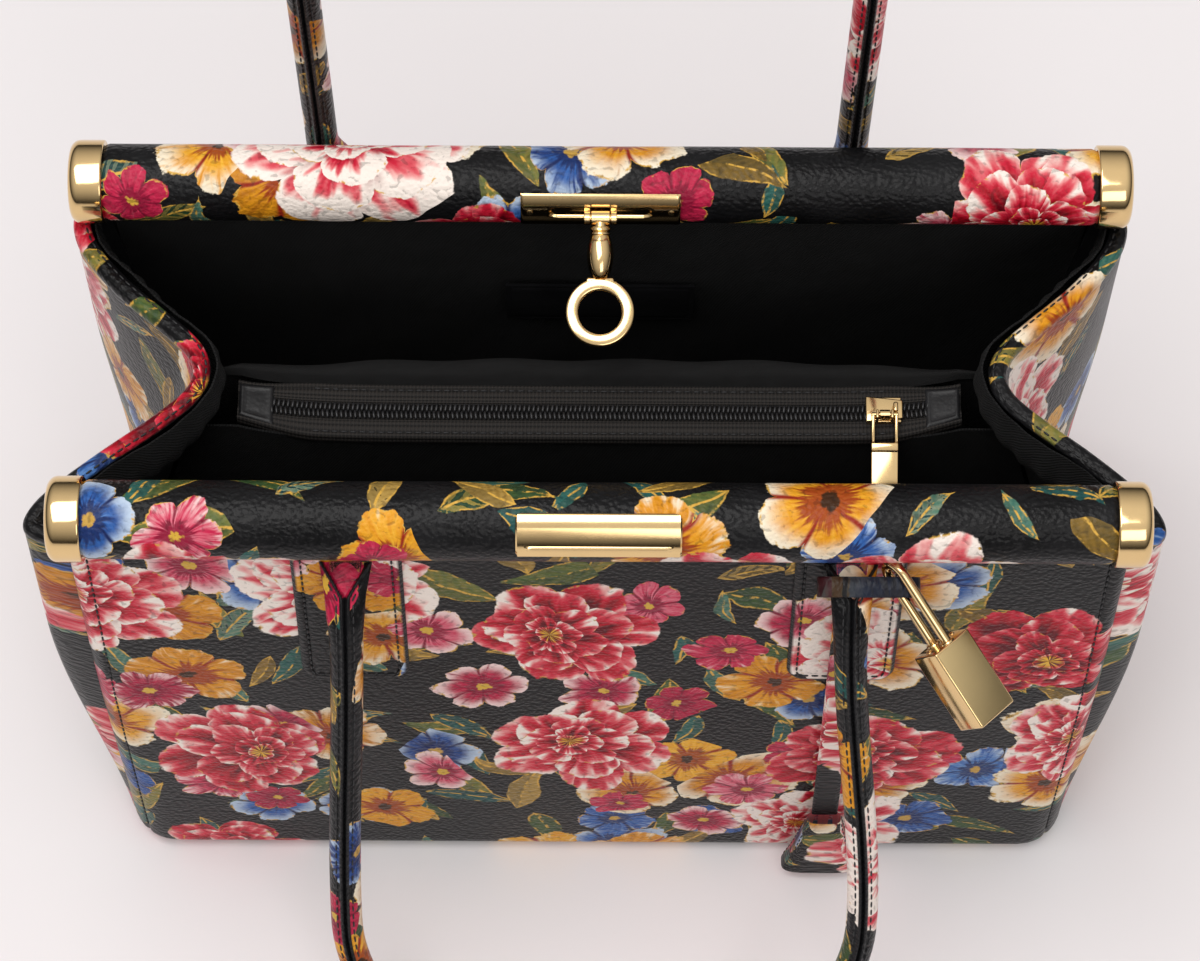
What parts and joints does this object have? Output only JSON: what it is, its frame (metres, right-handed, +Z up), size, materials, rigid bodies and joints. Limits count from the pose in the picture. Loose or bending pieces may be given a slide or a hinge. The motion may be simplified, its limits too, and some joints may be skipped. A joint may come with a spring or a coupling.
{
  "type": "handbag",
  "caption": "Structured printed leather handbag with a roll-bar mouth, folding gussets, swinging clasp ring, rolled handles, zipped divider pocket, padlock and hanging fob.",
  "frame": {"origin": "middle of the flat base, on the floor", "axes": "+X along the bars to the right as seen from the front, +Y to the back, +Z up"},
  "size_m": [0.354, 0.2665, 0.4317],
  "materials": {
    "printed_leather": "pebbled, printed with flowers on black, soft sheen",
    "lining_cloth": "black twill",
    "patch_leather": "smooth black",
    "gold_metal": "polished gold plate",
    "bar_tube": "plain, hidden in the rolls",
    "board": "plain, hidden",
    "zip_tape": "woven",
    "zip_coil": "black coil"
  },
  "bodies": {
    "root": {"front_panel": "printed_leather", "back_panel": "printed_leather", "base_panel": "printed_leather", "base_board": "board", "base_lining": "lining_cloth", "front_lining": "lining_cloth", "back_lining": "lining_cloth", "left_gusset": "printed_leather", "left_gusset_facing": "printed_leather", "right_gusset": "printed_leather", "right_gusset_facing": "printed_leather", "front_bar_tube": "bar_tube", "front_bar_roll": "printed_leather", "front_left_cap": "gold_metal", "front_right_cap": "gold_metal", "back_bar_tube": "bar_tube", "back_bar_roll": "printed_leather", "back_left_cap": "gold_metal", "back_right_cap": "gold_metal", "catch_plate": "gold_metal", "clasp_plate": "gold_metal", "clasp_pin": "gold_metal", "front_left_tab": "printed_leather", "front_right_tab": "printed_leather", "back_left_tab": "printed_leather", "back_right_tab": "printed_leather", "pocket_front": "lining_cloth", "pocket_back": "lining_cloth", "front_zip_tape": "zip_tape", "back_zip_tape": "zip_tape", "front_zip_coil": "zip_coil", "back_zip_coil": "zip_coil", "left_zip_tab": "printed_leather", "right_zip_tab": "printed_leather", "label_patch": "patch_leather", "lock_loop": "printed_leather", "fob_strap": "printed_leather", "fob_bell": "printed_leather"},
    "front_handle": {"front_handle": "printed_leather"},
    "back_handle": {"back_handle": "printed_leather"},
    "clasp": {"clasp_post": "gold_metal", "clasp_ring": "gold_metal"},
    "zip_slider": {"zip_slider": "gold_metal"},
    "zip_pull": {"zip_pull": "gold_metal"},
    "padlock_shackle": {"padlock_shackle": "gold_metal"},
    "padlock_case": {"padlock_case": "gold_metal"}
  },
  "joints": [
    {"name": "front_handle_swing", "type": "hinge", "parent": "root", "child": "front_handle", "pos_m": [0, -0.0795, 0.205], "axis": [-1, 0, 0], "range_deg": [0, 140]},
    {"name": "back_handle_swing", "type": "hinge", "parent": "root", "child": "back_handle", "pos_m": [0, 0.0795, 0.205], "axis": [-1, 0, 0], "range_deg": [0, 150]},
    {"name": "clasp_swing", "type": "hinge", "parent": "root", "child": "clasp", "pos_m": [0, 0.04404, 0.23363], "axis": [-1, 0, 0], "range_deg": [0, 90]},
    {"name": "zip_slide", "type": "slide", "parent": "root", "child": "zip_slider", "axis": [-1, 0, 0], "range_m": [0, 0.19]},
    {"name": "zip_pull_swing", "type": "hinge", "parent": "zip_slider", "child": "zip_pull", "pos_m": [0.092, -0.003, 0.196], "axis": [-1, 0, 0], "range_deg": [0, 195]},
    {"name": "padlock_swing", "type": "hinge", "parent": "root", "child": "padlock_shackle", "pos_m": [0.095, -0.0738, 0.21146], "axis": [0, -0.3867, 0.9222], "range_deg": [-8, 8]},
    {"name": "padlock_unlock", "type": "slide", "parent": "padlock_shackle", "child": "padlock_case", "axis": [0.5489, -0.6767, -0.4907], "range_m": [0, 0.006]}
  ]
}
